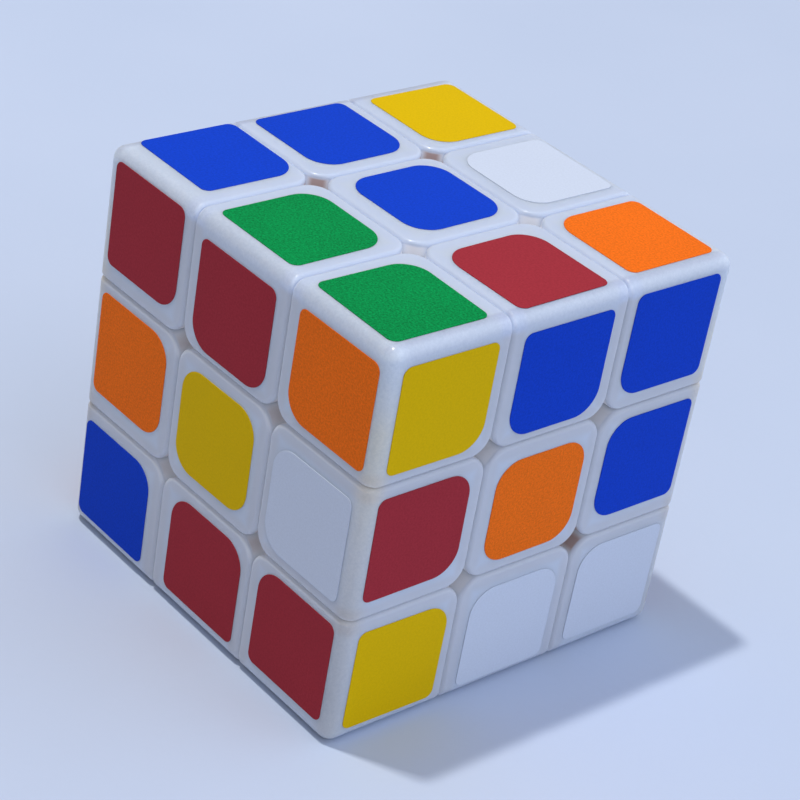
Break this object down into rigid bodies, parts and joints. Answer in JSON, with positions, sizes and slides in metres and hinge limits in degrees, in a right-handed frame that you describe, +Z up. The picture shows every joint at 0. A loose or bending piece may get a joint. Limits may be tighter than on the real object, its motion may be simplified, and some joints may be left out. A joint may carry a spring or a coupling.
{
  "type": "twisty puzzle cube",
  "caption": "Twisty puzzle cube: white cubies turn in layers about a sprung core, with rounded colour stickers on every face.",
  "frame": {"origin": "middle of the core, where the six turning axes cross, at the centre of the cube", "axes": "+Z up, out of the upper face; +X out of the right face; -Y out of the front face"},
  "size_m": [0.056, 0.056, 0.056],
  "materials": {
    "white_shell": "satin",
    "inner_plastic": "satin",
    "core_plastic": "satin",
    "screw_steel": "zinc plated",
    "spring_steel": "plain",
    "washer_steel": "plain",
    "sticker_white": "vinyl film",
    "sticker_yellow": "vinyl film",
    "sticker_blue": "vinyl film",
    "sticker_green": "vinyl film",
    "sticker_orange": "vinyl film",
    "sticker_red": "vinyl film"
  },
  "bodies": {
    "core": {"core": "core_plastic", "tension_screws": "screw_steel", "tension_springs": "spring_steel", "spring_washers": "washer_steel"},
    "centre_up": {"centre_cap_up": "white_shell", "centre_hub_up": "inner_plastic"},
    "centre_down": {"centre_cap_down": "white_shell", "centre_hub_down": "inner_plastic"},
    "centre_right": {"centre_cap_right": "white_shell", "centre_hub_right": "inner_plastic"},
    "centre_left": {"centre_cap_left": "white_shell", "centre_hub_left": "inner_plastic"},
    "centre_front": {"centre_cap_front": "white_shell", "centre_hub_front": "inner_plastic"},
    "centre_back": {"centre_cap_back": "white_shell", "centre_hub_back": "inner_plastic"},
    "edge_back_right": {"edge_shell_back_right": "white_shell", "edge_foot_back_right": "inner_plastic"},
    "edge_down_back": {"edge_shell_down_back": "white_shell", "edge_foot_down_back": "inner_plastic"},
    "edge_down_front": {"edge_shell_down_front": "white_shell", "edge_foot_down_front": "inner_plastic"},
    "edge_down_left": {"edge_shell_down_left": "white_shell", "edge_foot_down_left": "inner_plastic"},
    "edge_down_right": {"edge_shell_down_right": "white_shell", "edge_foot_down_right": "inner_plastic"},
    "edge_front_left": {"edge_shell_front_left": "white_shell", "edge_foot_front_left": "inner_plastic"},
    "edge_left_back": {"edge_shell_left_back": "white_shell", "edge_foot_left_back": "inner_plastic"},
    "edge_right_front": {"edge_shell_right_front": "white_shell", "edge_foot_right_front": "inner_plastic"},
    "edge_up_back": {"edge_shell_up_back": "white_shell", "edge_foot_up_back": "inner_plastic"},
    "edge_up_front": {"edge_shell_up_front": "white_shell", "edge_foot_up_front": "inner_plastic"},
    "edge_up_left": {"edge_shell_up_left": "white_shell", "edge_foot_up_left": "inner_plastic"},
    "edge_up_right": {"edge_shell_up_right": "white_shell", "edge_foot_up_right": "inner_plastic"},
    "corner_down_back_left": {"corner_shell_down_back_left": "white_shell", "corner_foot_down_back_left": "inner_plastic"},
    "corner_down_front_right": {"corner_shell_down_front_right": "white_shell", "corner_foot_down_front_right": "inner_plastic"},
    "corner_down_left_front": {"corner_shell_down_left_front": "white_shell", "corner_foot_down_left_front": "inner_plastic"},
    "corner_down_right_back": {"corner_shell_down_right_back": "white_shell", "corner_foot_down_right_back": "inner_plastic"},
    "corner_up_back_right": {"corner_shell_up_back_right": "white_shell", "corner_foot_up_back_right": "inner_plastic"},
    "corner_up_front_left": {"corner_shell_up_front_left": "white_shell", "corner_foot_up_front_left": "inner_plastic"},
    "corner_up_left_back": {"corner_shell_up_left_back": "white_shell", "corner_foot_up_left_back": "inner_plastic"},
    "corner_up_right_front": {"corner_shell_up_right_front": "white_shell", "corner_foot_up_right_front": "inner_plastic"}
  },
  "joints": [
    {"name": "up_face_turn", "type": "hinge", "parent": "core", "child": "centre_up", "pos_m": [0, 0, 0], "axis": [0, 0, 1], "continuous": true},
    {"name": "down_face_turn", "type": "hinge", "parent": "core", "child": "centre_down", "pos_m": [0, 0, 0], "axis": [0, 0, -1], "continuous": true},
    {"name": "right_face_turn", "type": "hinge", "parent": "core", "child": "centre_right", "pos_m": [0, 0, 0], "axis": [1, 0, 0], "continuous": true},
    {"name": "left_face_turn", "type": "hinge", "parent": "core", "child": "centre_left", "pos_m": [0, 0, 0], "axis": [-1, 0, 0], "continuous": true},
    {"name": "front_face_turn", "type": "hinge", "parent": "core", "child": "centre_front", "pos_m": [0, 0, 0], "axis": [0, -1, 0], "continuous": true},
    {"name": "back_face_turn", "type": "hinge", "parent": "core", "child": "centre_back", "pos_m": [0, 0, 0], "axis": [0, 1, 0], "continuous": true},
    {"name": "edge_front_left_with_front", "type": "hinge", "parent": "centre_left", "child": "edge_front_left", "pos_m": [0, 0, 0], "axis": [0, -1, 0], "continuous": true},
    {"name": "edge_down_left_with_left", "type": "hinge", "parent": "centre_down", "child": "edge_down_left", "pos_m": [0, 0, 0], "axis": [-1, 0, 0], "continuous": true},
    {"name": "edge_up_left_with_left", "type": "hinge", "parent": "centre_up", "child": "edge_up_left", "pos_m": [0, 0, 0], "axis": [-1, 0, 0], "continuous": true},
    {"name": "edge_left_back_with_back", "type": "hinge", "parent": "centre_left", "child": "edge_left_back", "pos_m": [0, 0, 0], "axis": [0, 1, 0], "continuous": true},
    {"name": "edge_down_front_with_down", "type": "hinge", "parent": "centre_front", "child": "edge_down_front", "pos_m": [0, 0, 0], "axis": [0, 0, -1], "continuous": true},
    {"name": "edge_up_front_with_up", "type": "hinge", "parent": "centre_front", "child": "edge_up_front", "pos_m": [0, 0, 0], "axis": [0, 0, 1], "continuous": true},
    {"name": "edge_down_back_with_down", "type": "hinge", "parent": "centre_back", "child": "edge_down_back", "pos_m": [0, 0, 0], "axis": [0, 0, -1], "continuous": true},
    {"name": "edge_up_back_with_up", "type": "hinge", "parent": "centre_back", "child": "edge_up_back", "pos_m": [0, 0, 0], "axis": [0, 0, 1], "continuous": true},
    {"name": "edge_right_front_with_front", "type": "hinge", "parent": "centre_right", "child": "edge_right_front", "pos_m": [0, 0, 0], "axis": [0, -1, 0], "continuous": true},
    {"name": "edge_down_right_with_right", "type": "hinge", "parent": "centre_down", "child": "edge_down_right", "pos_m": [0, 0, 0], "axis": [1, 0, 0], "continuous": true},
    {"name": "edge_up_right_with_right", "type": "hinge", "parent": "centre_up", "child": "edge_up_right", "pos_m": [0, 0, 0], "axis": [1, 0, 0], "continuous": true},
    {"name": "edge_back_right_with_back", "type": "hinge", "parent": "centre_right", "child": "edge_back_right", "pos_m": [0, 0, 0], "axis": [0, 1, 0], "continuous": true},
    {"name": "corner_down_left_front_with_down", "type": "hinge", "parent": "edge_front_left", "child": "corner_down_left_front", "pos_m": [0, 0, 0], "axis": [0, 0, -1], "continuous": true},
    {"name": "corner_up_front_left_with_up", "type": "hinge", "parent": "edge_front_left", "child": "corner_up_front_left", "pos_m": [0, 0, 0], "axis": [0, 0, 1], "continuous": true},
    {"name": "corner_down_back_left_with_down", "type": "hinge", "parent": "edge_left_back", "child": "corner_down_back_left", "pos_m": [0, 0, 0], "axis": [0, 0, -1], "continuous": true},
    {"name": "corner_up_left_back_with_up", "type": "hinge", "parent": "edge_left_back", "child": "corner_up_left_back", "pos_m": [0, 0, 0], "axis": [0, 0, 1], "continuous": true},
    {"name": "corner_down_front_right_with_down", "type": "hinge", "parent": "edge_right_front", "child": "corner_down_front_right", "pos_m": [0, 0, 0], "axis": [0, 0, -1], "continuous": true},
    {"name": "corner_up_right_front_with_up", "type": "hinge", "parent": "edge_right_front", "child": "corner_up_right_front", "pos_m": [0, 0, 0], "axis": [0, 0, 1], "continuous": true},
    {"name": "corner_down_right_back_with_down", "type": "hinge", "parent": "edge_back_right", "child": "corner_down_right_back", "pos_m": [0, 0, 0], "axis": [0, 0, -1], "continuous": true},
    {"name": "corner_up_back_right_with_up", "type": "hinge", "parent": "edge_back_right", "child": "corner_up_back_right", "pos_m": [0, 0, 0], "axis": [0, 0, 1], "continuous": true}
  ],
  "couplings": [
    {"joint": "edge_front_left_with_front", "follows": "front_face_turn", "ratio": 1},
    {"joint": "edge_down_left_with_left", "follows": "left_face_turn", "ratio": 1},
    {"joint": "edge_up_left_with_left", "follows": "left_face_turn", "ratio": 1},
    {"joint": "edge_left_back_with_back", "follows": "back_face_turn", "ratio": 1},
    {"joint": "edge_down_front_with_down", "follows": "down_face_turn", "ratio": 1},
    {"joint": "edge_up_front_with_up", "follows": "up_face_turn", "ratio": 1},
    {"joint": "edge_down_back_with_down", "follows": "down_face_turn", "ratio": 1},
    {"joint": "edge_up_back_with_up", "follows": "up_face_turn", "ratio": 1},
    {"joint": "edge_right_front_with_front", "follows": "front_face_turn", "ratio": 1},
    {"joint": "edge_down_right_with_right", "follows": "right_face_turn", "ratio": 1},
    {"joint": "edge_up_right_with_right", "follows": "right_face_turn", "ratio": 1},
    {"joint": "edge_back_right_with_back", "follows": "back_face_turn", "ratio": 1},
    {"joint": "corner_down_left_front_with_down", "follows": "down_face_turn", "ratio": 1},
    {"joint": "corner_up_front_left_with_up", "follows": "up_face_turn", "ratio": 1},
    {"joint": "corner_down_back_left_with_down", "follows": "down_face_turn", "ratio": 1},
    {"joint": "corner_up_left_back_with_up", "follows": "up_face_turn", "ratio": 1},
    {"joint": "corner_down_front_right_with_down", "follows": "down_face_turn", "ratio": 1},
    {"joint": "corner_up_right_front_with_up", "follows": "up_face_turn", "ratio": 1},
    {"joint": "corner_down_right_back_with_down", "follows": "down_face_turn", "ratio": 1},
    {"joint": "corner_up_back_right_with_up", "follows": "up_face_turn", "ratio": 1}
  ]
}
